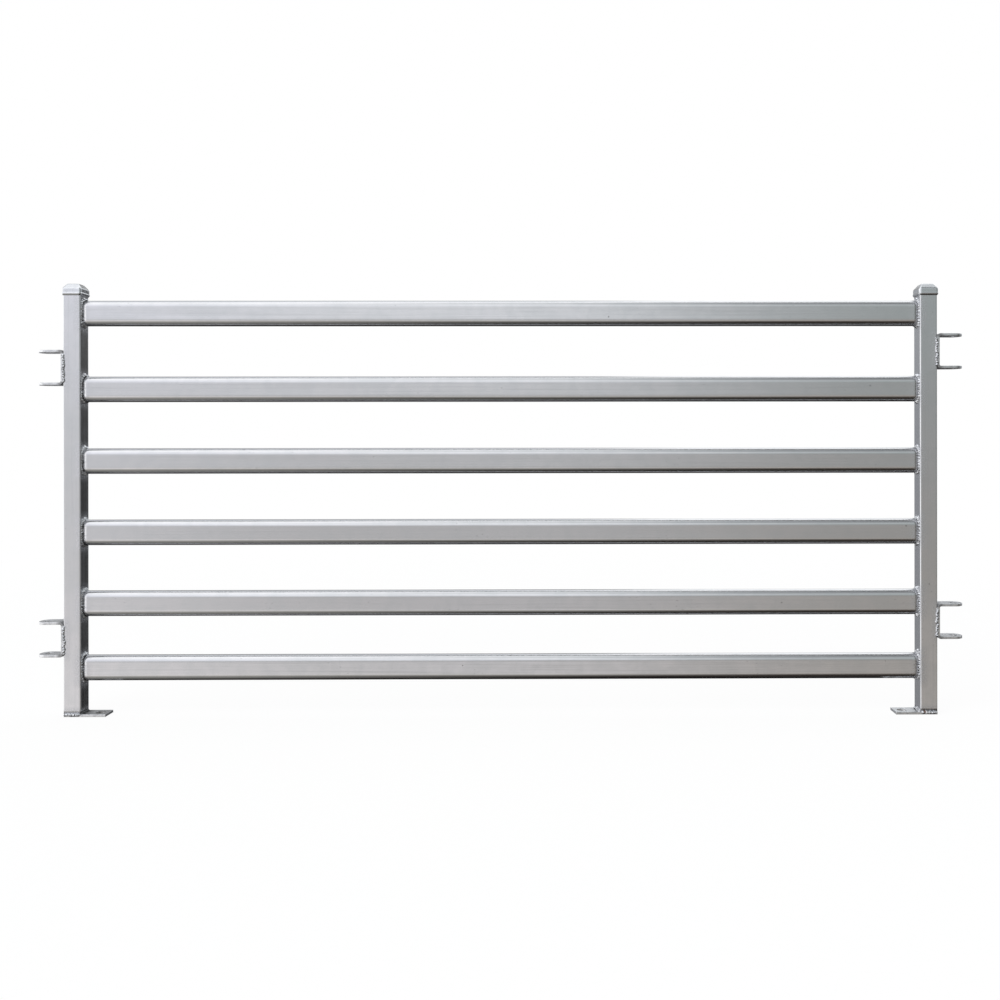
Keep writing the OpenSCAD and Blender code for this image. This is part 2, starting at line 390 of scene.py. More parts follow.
# What the panel mirrors: each stop is an elevation in degrees and the tone that a face turned that way shows.
worldTones = {
    "frontLeft": ((-90, "#42403e"), (-60, "#706f6c"), (-32, "#a2a09b"), (-18, "#e3dfde"), (-13.5, "#dddada"),
                  (-9, "#cbc9ca"), (-4, "#c2c2c4"), (2, "#c4c5c8"), (8, "#d6d7df"), (16, "#dfe0e7"),
                  (32, "#f2f3f9"), (48, "#fcfdff"), (72, "#fcfdff"), (90, "#f0f1f5")),
    "frontMid": ((-90, "#262422"), (-60, "#403e3b"), (-32, "#8b8984"), (-18, "#c0bebb"), (-13.5, "#cbc9ca"),
                 (-9, "#a2a0a0"), (-4, "#a8a8a7"), (3, "#bcbdbf"), (8, "#d8dadd"), (16, "#dee0e4"),
                 (30, "#eceef1"), (47, "#dcdee0"), (68, "#d2d5d7"), (80, "#e6e9eb"), (90, "#f8fafb")),
    "frontRight": ((-90, "#141210"), (-60, "#1c1815"), (-32, "#4a443e"), (-18, "#9a948d"), (-13, "#a5a19c"),
                   (-8, "#8c8984"), (-2, "#92918f"), (4, "#8c908f"), (9, "#919897"), (19, "#a1a8a7"),
                   (30, "#abafb0"), (46, "#878b8d"), (62, "#8e9294"), (74, "#c8cccd"), (82, "#f6f8f9"),
                   (90, "#ffffff")),
    "rear": ((-90, "#0c0b0a"), (-40, "#3c3a38"), (-25, "#6a6a6b"), (-12, "#7f8083"), (0, "#84868a"),
             (9, "#9a9c9f"), (16, "#9c9c9c"), (24, "#7c7b79"), (32, "#8b8b8a"), (42, "#b2b4b8"),
             (58, "#c2c5c9"), (68, "#e4e7e9"), (78, "#f8fafb"), (90, "#f8fafb")),
    "rearRight": ((-90, "#0c0b0a"), (-40, "#3c3a38"), (-25, "#6a6a6b"), (-12, "#7f8083"), (0, "#84868a"),
                  (9, "#aaacaf"), (20, "#dcdee0"), (34, "#f2f4f5"), (58, "#f6f8f9"), (78, "#fafbfc"),
                  (90, "#f8fafb")),
    "doorway": ((-90, "#0a0908"), (-20, "#080706"), (-13, "#0f0e0c"), (-8, "#1c1b19"), (0, "#252423"),
                (8, "#3b3a38"), (17, "#6a6b6c"), (26, "#c0c2c4"), (36, "#eceef0"), (58, "#f4f6f7"),
                (80, "#fafcfd"), (90, "#f8fafb")),
}
# Where each region shows: from nothing at the first number up to the third number at the second. Right and
# back are a direction's shares on the level, up is its share upright. Several edges are multiplied.
# The left post's inner face mirrors the dark doorway.
worldEdges = {
    "frontMid": (("right", -0.55, -0.2, 1.0),),
    "frontRight": (("right", -0.07, 0.36, 1.0),),
    "rear": (("back", -0.3, 0.4, 1.0),),
    "rearRight": (("right", 0.04, 0.16, 1.0),),
    "doorway": (("right", 0.32, 0.40, 1.0), ("right", 0.7, 0.57, 1.0)),
    "window": (("right", -0.58, -0.74, 1.0), ("up", -0.4, -0.12, 1.0), ("up", 0.6, 0.35, 1.0)),
    "shade": (("right", 0.58, 0.76, 0.8), ("back", -0.22, -0.38, 1.0)),
}
worldLook = {"strength": 1.52, "window": "#ffffff", "shade": "#3a3836"}


def makeWorld():
    world = bpy.data.worlds.new("studio")
    bpy.context.scene.world = world
    world.use_nodes = True
    tree = world.node_tree
    tree.nodes.clear()
    way = addNode(tree, "TexCoord").outputs["Generated"]
    x, y, z = addNode(tree, "SeparateXYZ", {}, {0: way}).outputs
    height = addNode(tree, "MapRange", {1: -1.0}, {0: z}).outputs[0]
    level = addNode(tree, "Math", times, {0: x, 1: x}).outputs[0]
    level = addNode(tree, "Math", timesPlus, {0: y, 1: y, 2: level}).outputs[0]
    level = addNode(tree, "Math", {"operation": "SQRT"}, {0: level}).outputs[0]
    level = addNode(tree, "Math", {"operation": "MAXIMUM", 1: 0.001}, {0: level}).outputs[0]
    measures = {"up": z}
    for key, along in (("right", x), ("back", y)):
        measures[key] = addNode(tree, "Math", {"operation": "DIVIDE"}, {0: along, 1: level}).outputs[0]

    def tonesOf(region):
        node = addNode(tree, "ValToRGB", {}, {0: height})
        ramp = node.color_ramp
        for k, (elevation, tone) in enumerate(worldTones[region]):
            position = (math.sin(math.radians(elevation)) + 1) / 2
            element = ramp.elements[k] if k < 2 else ramp.elements.new(position)
            element.position, element.color = position, linear(tone)
        return node.outputs[0]

    def laidOver(under, region, settings, links):  # the region's tone where all its edges let it show
        share = None
        for key, none, full, most in worldEdges[region]:
            edge = addNode(tree, "MapRange", softly | {1: none, 2: full, 4: most},
                           {0: measures[key]}).outputs[0]
            share = edge if share is None else addNode(tree, "Math", times,
                                                       {0: share, 1: edge}).outputs[0]
        return addNode(tree, "Mix", colours | settings, links | {0: share, 6: under}).outputs[2]

    front, rear = tonesOf("frontLeft"), tonesOf("rear")
    for region in ("frontMid", "frontRight"):
        front = laidOver(front, region, {}, {7: tonesOf(region)})
    for region in ("rearRight", "doorway"):
        rear = laidOver(rear, region, {}, {7: tonesOf(region)})
    tone = laidOver(front, "rear", {}, {7: rear})
    for region in ("window", "shade"):
        tone = laidOver(tone, region, {7: linear(worldLook[region])}, {})
    background = addNode(tree, "Background", {"Strength": worldLook["strength"]}, {"Color": tone})
    addNode(tree, "OutputWorld", {}, {"Surface": background.outputs[0]})


# Pale painted floor, matt with a fine grain, that melts into white paper further out.
stageLook = {"floorTone": "#f2f2f1", "grainTone": "#efefee", "wallTone": "#ffffff", "radius": 9.0,
             "fadeFrom": 1.2, "fadeTo": 4.0, "nearGlow": 0.93, "grainSize": 16.6667, "spokes": 96,
             "floorRings": 40, "wallRings": 30, "spreadPower": 1.5, "wallTop": 0.985, "floorRough": 0.4}


def makeStage():
    # floor: rings round the middle, wider apart further out; backdrop: half a ball standing on its edge
    look = stageLook
    angles = np.linspace(0, 2 * math.pi, look["spokes"] + 1)[:-1]
    radius = look["radius"] / mm
    rows = np.linspace(0.02, 1, look["floorRings"]) ** look["spreadPower"] * radius
    ring = np.stack([np.cos(angles), np.sin(angles), np.zeros_like(angles)], -1)
    points = (rows[::-1, None, None] * ring[None]).reshape(-1, 3)
    quads = gridQuads(len(rows), len(angles), False, True)
    points = np.concatenate([points, [[0, 0, 0]]])
    last = np.arange(len(angles)) + (len(rows) - 1) * len(angles)
    material, tree = startMaterial("pale_painted_floor")
    place = addNode(tree, "TexCoord").outputs["Object"]
    far = addNode(tree, "VectorMath", {"operation": "LENGTH"}, {0: place}).outputs[1]
    fade = addNode(tree, "MapRange", softly | {1: look["fadeFrom"], 2: look["fadeTo"],
                                                         3: look["nearGlow"]}, {0: far}).outputs[0]
    grain = addNode(tree, "TexNoise", {"Scale": 1 / (look["grainSize"] * mm), "Detail": 3.0},
                    {"Vector": place}).outputs[0]
    share = addNode(tree, "MapRange", softly | {1: 0.3, 2: 0.7}, {0: grain}).outputs[0]
    tone = addNode(tree, "Mix", colours | {
        6: linear(look["floorTone"]), 7: linear(look["grainTone"])}, {0: share}).outputs[2]
    matt = addNode(tree, "BsdfDiffuse", {"Roughness": look["floorRough"]}, {"Color": tone})
    glow = addNode(tree, "Emission", {"Color": linear(look["wallTone"]), "Strength": 1.0})
    both = addNode(tree, "MixShader", {}, {0: fade, 1: matt.outputs[0], 2: glow.outputs[0]})
    addNode(tree, "OutputMaterial", {}, {"Surface": both.outputs[0]})
    floor = putMesh("floor", points, quads, fan(last, len(points) - 1), material)

    tilt = np.linspace(0, math.pi / 2 * look["wallTop"], look["wallRings"])
    dome = np.stack([np.cos(tilt)[:, None] * np.cos(angles), np.cos(tilt)[:, None] * np.sin(angles),
                     np.repeat(np.sin(tilt)[:, None], len(angles), 1)], -1) * radius
    last = np.arange(len(angles)) + (len(tilt) - 1) * len(angles)
    material, tree = startMaterial("white_paper_backdrop")
    glow = addNode(tree, "Emission", {"Color": linear(look["wallTone"]), "Strength": 1.0})
    addNode(tree, "OutputMaterial", {}, {"Surface": glow.outputs[0]})
    backdrop = putMesh("backdrop", np.concatenate([dome.reshape(-1, 3), [[0, 0, radius]]]),
                       gridQuads(len(tilt), len(angles), False, True), fan(last, len(tilt) * len(angles)),
                       material)
    for sheet in (floor, backdrop):  # only the camera sees them, so the metal mirrors the world's tones alone
        sheet.visible_glossy = sheet.visible_shadow = sheet.visible_diffuse = False


lightLook = {"place": (-2.2, -2.4, 3.4), "aimAt": (0, 0, 0.4), "size": 2.2, "power": 40.0, "tone": "#ffffff"}


def makeLight():
    data = bpy.data.lights.new("soft_box", "AREA")
    data.shape, data.size, data.energy = "DISK", lightLook["size"], lightLook["power"]
    data.color = linear(lightLook["tone"])[:3]
    light = bpy.data.objects.new("soft_box", data)
    light.location = lightLook["place"]
    light.visible_glossy = False
    aim = np.array(lightLook["aimAt"]) - np.array(lightLook["place"])
    tilt, turn = math.acos(-aim[2] / np.linalg.norm(aim)), math.atan2(aim[1], aim[0]) - math.pi / 2
    light.rotation_euler = (tilt, 0, turn)
    bpy.context.scene.collection.objects.link(light)


makeCamera()
makeWorld()
makeStage()
makeLight()
bpy.context.scene.view_settings.view_transform = "Standard"
print("camera, stage and lights made")


# ---- posts: square tube, a rounded square carried upright, with its flats a hair off true

# railSpray and lugSpray: how far round the post it starts, and how far from the weld it is still full.
postLook = {"radius": 2.5, "innerRadius": 0.6, "wall": 2.0, "arcPoints": 9, "sidePoints": 11, "rings": 110,
            "unevenness": 0.07, "wave": 2400, "seeds": (11, 31), "sprayReach": 22.0, "railSpray": (-6, 2),
            "lugSpray": (-4, 4), "lugSpan": 34, "footSpray": (5, 18)}


def makePost(side):
    # half width across X or Y = the rounded square's, less a drift of the height on the flats and corners
    look = postLook
    low, high = boxMm(f"post_{side}")
    loop = squareLoop(postHalf, look["radius"], look["arcPoints"], look["sidePoints"])
    inner = squareLoop(postHalf - look["wall"], look["innerRadius"], look["arcPoints"], look["sidePoints"])
    heights = np.linspace(low[2], high[2], look["rings"])
    outer = np.repeat(loop[None], len(heights), 0)
    lean = np.stack([drift(heights, look["wave"], seed + sides.index(side)) for seed in look["seeds"]], -1)
    lean = np.abs(lean * look["unevenness"])[:, None, :]
    outer = outer - lean * np.sign(outer) * (np.abs(outer) > postHalf - look["radius"])
    rings = np.concatenate([outer, inner[None], inner[None]])
    levelsUp = np.concatenate([heights, [high[2], low[2]]])
    points = np.concatenate([rings, np.broadcast_to(levelsUp[:, None, None], rings.shape[:2] + (1,))], -1)
    x, z = points[..., 0], points[..., 2]
    spray = 1 - softStep(z - low[2], *look["footSpray"])
    welds = [(-1, mid, railHeight / 2, *look["railSpray"]) for mid in railMids]
    welds += [(1, lugMid(side, level), look["lugSpan"], *look["lugSpray"]) for level in levels]
    for way, mid, span, start, full in welds:
        near = np.maximum(np.abs(z - mid) - span, 0)
        weldSpray = softStep(way * x, start, postHalf) * (1 - softStep(near, full, look["sprayReach"]))
        spray = np.maximum(spray, weldSpray)
    flat, quads = skinTube(points + np.array([postMid, 0, 0]))
    piece = putMesh(f"post_{side}_tube", turned(flat, side), quads, (), postTube, [("spray", spray)])
    finishPiece(piece, "post_tube", f"post_{side}")


for side in sides:
    makePost(side)
print("posts made")


# ---- rails: flat-sided oval tube carried along X, cut square at both ends

railLook = {"wall": 1.6, "arcPoints": 33, "sidePoints": 9, "rings": 150, "unevenness": 0.10, "wave": 4100,
            "swell": (40, 9), "lift": (60, 7), "sprayReach": 26.0, "sprayFull": 4.0}  # seed and waves of each


def makeRail(i):
    # depth = the oval's, less a drift of the length in the flats' middle; height = the oval's, less another
    look = railLook
    low, high = railBoxes[i - 1]
    loop = ovalLoop(railHeight, railDepth, look["arcPoints"], look["sidePoints"])
    inner = ovalLoop(railHeight - 2 * look["wall"], railDepth - 2 * look["wall"], look["arcPoints"],
                     look["sidePoints"])
    along = np.linspace(low[0], high[0], look["rings"])
    swell, lift = (np.abs(drift(along, look["wave"], seed + i, waves) * look["unevenness"])[:, None]
                   for seed, waves in (look["swell"], look["lift"]))
    flatness = np.cos(np.clip(loop[:, 1] / (railHeight - railDepth) * math.pi, -math.pi / 2, math.pi / 2))
    outer = np.repeat(loop[None], len(along), 0)
    outer[..., 0] -= np.sign(loop[:, 0]) * swell * flatness
    outer[..., 1] -= np.sign(loop[:, 1]) * lift
    rings = np.concatenate([outer, inner[None], inner[None]])
    stations = np.concatenate([along, [high[0], low[0]]])
    points = np.concatenate([np.broadcast_to(stations[:, None, None], rings.shape[:2] + (1,)), rings], -1)
    spray = softStep(np.abs(points[..., 0]), high[0] - look["sprayReach"], high[0] - look["sprayFull"])
    flat, quads = skinTube(points + np.array([0, 0, railMids[i - 1]]))
    piece = putMesh(f"rail_{i}_tube", flat, quads, (), railTube, [("spray", spray)])
    finishPiece(piece, "rail_tube", f"rail_{i}")


for i in range(1, railCount + 1):
    makeRail(i)
print("rails made")


# ---- caps: a rounded square whose width follows the pressing's profile, down its outside and up its inside

capLook = {"wall": 2.0, "skirtClear": 0.4, "rise": 11.5, "lean": 9.5, "topRound": 1.5, "shoulderRound": 2.2,
           "slopeStops": (6.0, 9.5), "lipHeight": 7.8, "lipMiddle": 4.7, "lipOut": 0.9, "lipFoot": 1.9,
           "ridgeRound": 0.9, "ridgeShare": 0.35, "bevelShare": 0.45, "bevelShort": 0.5, "footRound": 0.35,
           "lipStop": 0.8, "footStop": 0.3, "insideShoulder": 2.5, "insideLean": 2.0, "insideRadius": 2.4,
           "cornerRadius": 4.9, "hipRadius": 1.8, "arcPoints": 9, "sidePoints": 13, "dent": 0.05, "wave": 90,
           "seed": 70}


def arcBetween(a, corner, b, count):
    # a smooth corner: the quadratic curve from a to b that leaves and reaches them towards the corner
    t = np.linspace(0, 1, count)[:, None]
    return (1 - t) ** 2 * np.array(a) + 2 * t * (1 - t) * np.array(corner) + t * t * np.array(b)


def makeCap(side):
    # half width at each height = the profile's; the corners' radius grows down the slope by its square
    look = capLook
    low, high = boxMm(f"cap_{side}")
    top, bottom = high[2], low[2]
    inside = postHalf + look["skirtClear"]
    out = inside + look["wall"]
    topHalf, shoulder = out - look["lean"], top - look["rise"]
    slopeLength = math.hypot(look["lean"], look["rise"])
    slope = np.array([look["lean"], -look["rise"]]) / slopeLength
    ringTop = topHalf - look["topRound"]
    edge, knee = np.array([topHalf, top]), np.array([out, shoulder])
    # the lip: an S out to its ridge, a straight bevel back in, and a small round under
    lipTop, ridge = bottom + look["lipHeight"], bottom + look["lipMiddle"]
    t = np.linspace(0, 1, 7)[1:]
    swell = np.stack([out + look["lipOut"] * softStep(t, 0, 1), lipTop + (ridge - lipTop) * t], -1)
    foot = np.array([out - look["lipFoot"], bottom])
    bevel = foot - (swell[-1][0], ridge) + look["bevelShort"]
    under = swell[-1] - (0, look["ridgeRound"])
    over = arcBetween(swell[-1], under, under + bevel * look["ridgeShare"], 6)[1:]
    curl = arcBetween(over[-1] + bevel * look["bevelShare"], foot + (look["footRound"], 0), foot, 5)
    outside = np.concatenate([
        [[ringTop / 2, top], [ringTop, top]],
        arcBetween((ringTop, top), edge, edge + slope * look["topRound"], 7)[1:],
        [edge + slope * stop for stop in look["slopeStops"]],
        arcBetween(knee - slope * look["shoulderRound"], knee, knee - (0, look["shoulderRound"]), 8),
        [[out, (shoulder + lipTop) / 2 - 1], [out, lipTop + look["lipStop"]], [out, lipTop]],
        swell, over, curl,
        [[inside, bottom + look["footStop"]], [inside, shoulder - look["insideShoulder"]]]])
    ceiling = top - look["wall"]
    innerHalf = topHalf - look["rise"] / slopeLength * look["wall"] + look["insideLean"]
    profile = np.concatenate([outside, [[innerHalf, ceiling], [innerHalf / 2, ceiling]]])
    width, height = profile.T
    hip, full = look["hipRadius"], look["cornerRadius"]
    corner = np.where(height > shoulder, hip + (full - hip) * ((top - height) / look["rise"]) ** 2, full)
    corner = np.where(width > out, full + width - out, corner)
    corner = np.minimum(corner, width / 2)
    insideFrom = len(outside) - 2
    corner[insideFrom:] = np.minimum(corner[insideFrom:], look["insideRadius"])
    loops = np.array([squareLoop(half, radius, look["arcPoints"], look["sidePoints"])
                      for half, radius in zip(width, corner)])
    rings = np.concatenate([loops, np.broadcast_to(height[:, None, None], loops.shape[:2] + (1,))], -1)
    dents = drift(rings[..., 2] + rings[..., 0] * 2, look["wave"], look["seed"] + sides.index(side), 3)
    rings[..., :2] += dents[..., None] * look["dent"]
    limit = capHigh[1] - hair
    rings[..., :2] = np.clip(rings[..., :2], -limit, limit)
    points, quads, triangles = skinShell(rings + np.array([postMid, 0, 0]))
    piece = putMesh(f"cap_{side}_pressing", turned(points, side), quads, triangles, capSheet)
    finishPiece(piece, "pressed_cap", f"cap_{side}")


for side in sides:
    makeCap(side)
print("caps made")


# ---- flat bar: a blank with its holes, drawn as a sheet through the bar's middle, bent and thickened

def holedEnd(look, joinAt, holeAt, half, tip):
    # one end of a blank: rays from the hole's rim to the outline, starting where it joins the rest
    # tip is None for an end that is round about the hole, or the distance from the hole to a square end
    tiny, crowding = 0.01, 1.25  # what a ray's slope is kept over; how much the spokes crowd to the hole
    joinY = np.linspace(-half, half, look["joinPoints"])
    reach = holeAt - joinAt
    joinAngle = math.pi - np.arctan2(joinY, reach)
    start, stop = joinAngle[-1], joinAngle[0] - 2 * math.pi
    if tip is None:
        free = np.linspace(start, stop, look["endPoints"])[1:-1]
        rim = np.where(np.cos(free) >= 0, half, half / np.maximum(np.abs(np.sin(free)), tiny))
    else:
        corner = math.atan2(half, tip)
        third = look["endPoints"] // 3
        free = np.concatenate([np.linspace(start, corner, third)[1:], np.linspace(corner, -corner, third)[1:],
                               np.linspace(-corner, stop, third)[1:-1]])
        square = np.where(np.cos(free) > 0, tip / np.maximum(np.cos(free), tiny), np.inf)
        rim = np.minimum(half / np.maximum(np.abs(np.sin(free)), tiny), square)
    angles = np.concatenate([joinAngle, free])
    rim = np.concatenate([np.hypot(reach, joinY), rim])
    share = (np.linspace(0, 1, look["spokes"]) ** crowding)[None, :, None]
    ray = np.stack([np.cos(angles), np.sin(angles)], -1)[:, None, :]
    return np.array([holeAt, 0]) + ray * (look["holeRadius"] * (1 - share) + rim[:, None, None] * share)


def sheetParts(parts):
    # joins grids that share an edge: each is (points as rows by columns by 2, wraps along its rows)
    allPoints, allQuads, count = [], [], 0
    for spots, wraps in parts:
        rows, columns = spots.shape[:2]
        allPoints.append(spots.reshape(-1, 2))
        allQuads.append(gridQuads(rows, columns, wraps, False) + count)
        count += rows * columns
    points, quads = np.concatenate(allPoints), np.concatenate(allQuads)
    keys = np.round(points * 1000).astype(np.int64)
    _, first, same = np.unique(keys, axis=0, return_index=True, return_inverse=True)
    quads = same.reshape(-1)[quads]
    points = points[first]
    # all faces turn the same way as seen from above
    a, b, c = points[quads[:, 0]], points[quads[:, 1]], points[quads[:, 2]]
    wrong = (b[:, 0] - a[:, 0]) * (c[:, 1] - a[:, 1]) - (b[:, 1] - a[:, 1]) * (c[:, 0] - a[:, 0]) < 0
    quads[wrong] = quads[wrong][:, ::-1]
    return points, quads


def putBar(name, points, quads, thickness, bevel, sootAndShade):
    # thickened both ways from its middle sheet, then its sharp edges are worn round
    mesh = bpy.data.meshes.new(name)
    mesh.from_pydata((points * mm).tolist(), [], quads.tolist())
    mesh.attributes.new("sootAndShade", "FLOAT", "POINT").data.foreach_set("value", np.asarray(sootAndShade, np.float32))
    mesh.polygons.foreach_set("use_smooth", np.ones(len(quads), bool))
    mesh.materials.append(flatBar)
    piece = bpy.data.objects.new(name, mesh)
    bpy.context.scene.collection.objects.link(piece)
    wall = piece.modifiers.new("thickness", "SOLIDIFY")
    wall.thickness, wall.offset, wall.use_even_offset = thickness * mm, 0.0, True
    soft = piece.modifiers.new("worn_edges", "BEVEL")
    soft.width, soft.segments, soft.limit_method, soft.angle_limit = bevel * mm, 3, "ANGLE", math.radians(50)
    tidy = piece.modifiers.new("even_shading", "WEIGHTED_NORMAL")
    tidy.keep_sharp = False
    return piece


lugLook = {"thickness": 6.0, "bendInside": 3.0, "holeRadius": 9.0, "bevel": 0.9, "joinPoints": 17,
           "endPoints": 44, "spokes": 7, "bendPoints": 9, "webPoints": 14, "splay": 0.6,
           "splayRange": (-1, 0.2), "sootAndShade": 0.6, "sootAndShadeReach": 6.0, "seed": 90}


def makeLug(side, level):
    # s along the bar from the web's middle, where the upper ear is plus: the web, a quarter bend, the ear
    look = lugLook
    low, high = boxMm(f"lug_{side}_{level}")
    half, middle, thick = (high[1] - low[1]) / 2, (high[2] + low[2]) / 2, look["thickness"]
    bend = look["bendInside"] + thick / 2  # radius of the bar's middle
    ear = high[0] - low[0] - look["bendInside"] - thick  # straight part of an ear, to its tip
    web = high[2] - low[2] - 2 * (look["bendInside"] + thick)
    earFrom = web / 2 + bend * math.pi / 2
    end = holedEnd(look, earFrom, earFrom + ear - half, half, None)
    across = np.linspace(-half, half, look["joinPoints"])
    bent = np.linspace(web / 2, earFrom, look["bendPoints"])
    along = np.concatenate([-bent[::-1], np.linspace(-web / 2, web / 2, look["webPoints"])[1:-1], bent])
    strip = np.stack(np.meshgrid(along, across, indexing="ij"), -1)
    points, quads = sheetParts([(end, True), (end * np.array([-1, 1]), True), (strip, False)])
    s, y, up = np.abs(points[:, 0]), points[:, 1], np.sign(points[:, 0])
    angle = np.clip((s - web / 2) / bend, 0, math.pi / 2)
    straight = np.maximum(s - earFrom, 0)
    x = thick / 2 + bend * (1 - np.cos(angle)) + straight
    z = np.minimum(s, web / 2) + bend * np.sin(angle)
    draw = np.random.default_rng(look["seed"] + 2 * sides.index(side) + levels.index(level))
    tilt = draw.uniform(*look["splayRange"], 2) * look["splay"] / ear  # each ear sags or closes a little
    z = z + straight * np.where(up > 0, tilt[0], tilt[1])
    spots = np.stack([postFace + x, y, up * z + middle], -1)
    # the bends are darkened by soot next to the weld and by painted shade in their hollow against the post
    burnAndShade = (s > web / 2) * (1 - softStep(straight, 0, look["sootAndShadeReach"]))  # at the bends, next to the weld
    piece = putBar(f"lug_{side}_{level}_bar", turned(spots, side), quads, thick, look["bevel"],
                   look["sootAndShade"] * burnAndShade)
    finishPiece(piece, "flat_bar", f"lug_{side}_{level}")


# The plates' darkening: sootEverywhere is dirt over the whole plate, and near the post it deepens as soot and
# painted shade.
footLook = {"holeRadius": 10.5, "holeIn": 20.0, "joinIn": 22.0, "bevel": 0.8, "joinPoints": 13,
            "endPoints": 39, "spokes": 6, "stripPoints": 16, "sootEverywhere": {"left": 0.42, "right": 0.0},
            "sootAndShadeNearPost": {"left": 1.0, "right": 0.25}, "sootAndShadeReach": 22.0, "rubbed": 1.5}


def makeFoot(side):
    # flat: 0 along the bar is the post's outer face, and the bar runs inwards to its holed tip
    look = footLook
    half, length, thick = (footHigh[1] - footLow[1]) / 2, footHigh[0] - footLow[0], footHigh[2] - footLow[2]
    holeAt = length - look["holeIn"]
    joinAt = holeAt - look["joinIn"]
    end = holedEnd(look, joinAt, holeAt, half, look["holeIn"])
    across = np.linspace(-half, half, look["joinPoints"])
    strip = np.stack(np.meshgrid(np.linspace(0, joinAt, look["stripPoints"]), across, indexing="ij"), -1)
    points, quads = sheetParts([(end, True), (strip, False)])
    middle = np.full(len(points), footLow[2] + thick / 2)
    spots = np.stack([footHigh[0] - points[:, 0], points[:, 1], middle], -1)
    # painted shade: the plate darkens towards the post, together with the dirt there
    near = softStep(points[:, 0] - 2 * postHalf, look["sootAndShadeReach"], 0)
    least, most = look["sootEverywhere"][side], look["sootAndShadeNearPost"][side]
    sootAndShade = (least + (most - least) * near) * softStep(np.abs(points[:, 1]), half, half - look["rubbed"])
    piece = putBar(f"foot_{side}_plate", turned(spots, side), quads, thick, look["bevel"], sootAndShade)
    finishPiece(piece, "flat_bar", f"foot_{side}")


for side in sides:
    for level in levels:
        makeLug(side, level)
    makeFoot(side)
print("lugs and feet made")


# ---- weld beads: overlapping scales of metal, each a little different, carried along the joint

beadLook = {"pitch": 5.6, "step": 0.55, "across": 15, "lump": 0.3, "groove": 0.26, "bow": 1.5, "wander": 2.0,
            "scaleSize": (0.55, 1.35), "scaleEdge": 0.55, "grooveDark": (2.2, 0.5), "grooveDarkShare": (0.2, 1),
            "toeLean": 0.16, "toeDip": 0.10, "sink": 0.5, "root": 0.8, "fullness": 1.6, "stone": 0.27,
            "pebble": (3.6, 9.0), "pebbleWaves": 14, "pebbleSlant": 1.3, "burn": (-0.6, 0.15),
            "endRound": 3.5, "backRoot": 2.0, "ground": 0.2, "rustReach": (1.5, 5.0)}


def scaleRipple(s, v, length, seed):
    # height = 1 + lump x (its scale's size - 1) x profile - groove x (1 - profile), where the profile swells
    # over each scale, and a scale's edge bows forward in the bead's middle
    look = beadLook
    count = max(3, round(length / look["pitch"]))
    pitch = length / count
    draw = np.random.default_rng(seed)
    shift = drift(s, length, seed + 1, 5) * look["wander"] + drift(v, 2.0, seed + 2, 3) * look["wander"] / 2
    place = (s + shift - look["bow"] * (1 - (2 * v - 1) ** 2)) / pitch
    which = np.floor(place).astype(int) % count
    size = draw.uniform(*look["scaleSize"], count)[which]
    lean = draw.uniform(-1, 1, count)[which]
    profile = np.power(np.sin(math.pi * (place - np.floor(place))), look["scaleEdge"])
    swell = 1 + look["lump"] * (size - 1) * profile - look["groove"] * (1 - profile)
    # the grooves between scales are darkened by slag and by painted shade in the hollows
    gain, cut = look["grooveDark"]
    slagAndShade = np.clip((1 - profile) * gain - cut, 0, 1) * draw.uniform(*look["grooveDarkShare"], count)[which]
    toe = 1 + look["toeLean"] * lean * (2 * v - 1) * profile - look["toeDip"] * (1 - profile)
    return swell, toe, slagAndShade


def pebbles(s, v, length, seed):
    # small random lumps: a sum of slanted waves, each a whole number of times round the bead
    draw = np.random.default_rng(seed + 5)
    total = 0.0
    for _ in range(beadLook["pebbleWaves"]):
        around = round(length / draw.uniform(*beadLook["pebble"]))
        slant = draw.uniform(-beadLook["pebbleSlant"], beadLook["pebbleSlant"])
        total = total + np.sin(2 * math.pi * (around * s / length + slant * v) + draw.uniform(0, almostTurn))
    return total / 4


def beadSkin(s, v, length, seed, toeShare, burnAndShade):
    # the scales with pebbles on them, and dark stretches along the toe where toeShare says how near it is:
    # soot, deepened as painted shade where a bead's weight is raised for the left post
    swell, toe, slagAndShade = scaleRipple(s, v, length, seed)
    swell = swell + beadLook["stone"] * pebbles(s, v, length, seed)
    dark = toeShare * softStep(drift(s, length, seed + 9, 11), *beadLook["burn"]) * burnAndShade
    return swell, toe, np.maximum(slagAndShade, dark)


def withRoot(surface, root, slagAndShade):  # each ring is closed through the bead's root, which isn't seen
    rings = np.concatenate([surface, root[:, None]], 1)
    return rings, np.concatenate([np.broadcast_to(slagAndShade, surface.shape[:2]), np.zeros((len(root), 1))], 1)


def cornerBead(origins, legA, legB, sizeA, sizeB, length, seed, closed, burnAndShade):
    # a fillet, from v = 0 on one plate to 1 on the other: a = cos(v quarter turns) to the power of fullness x
    # the scales along one leg, and b the same with the sine along the other
    look = beadLook
    s = np.linspace(0, length, len(origins), endpoint=not closed)[:, None]
    v = np.linspace(0, 1, look["across"])[None, :]
    swell, toe, slagAndShade = beadSkin(s, v, length, seed, softStep(v, 0.42, 0.2), burnAndShade)
    a = np.power(np.cos(v * math.pi / 2), look["fullness"]) * swell * toe * np.reshape(sizeA, (-1, 1))
    b = np.power(np.sin(v * math.pi / 2), look["fullness"]) * swell * (2 - toe) * np.reshape(sizeB, (-1, 1))
    a, b = a - look["sink"] * v ** 4, b - look["sink"] * (1 - v) ** 4
    surface = origins[:, None] + legA[:, None] * a[..., None] + legB[:, None] * b[..., None]
    return withRoot(surface, origins - (legA + legB) * look["root"], slagAndShade)


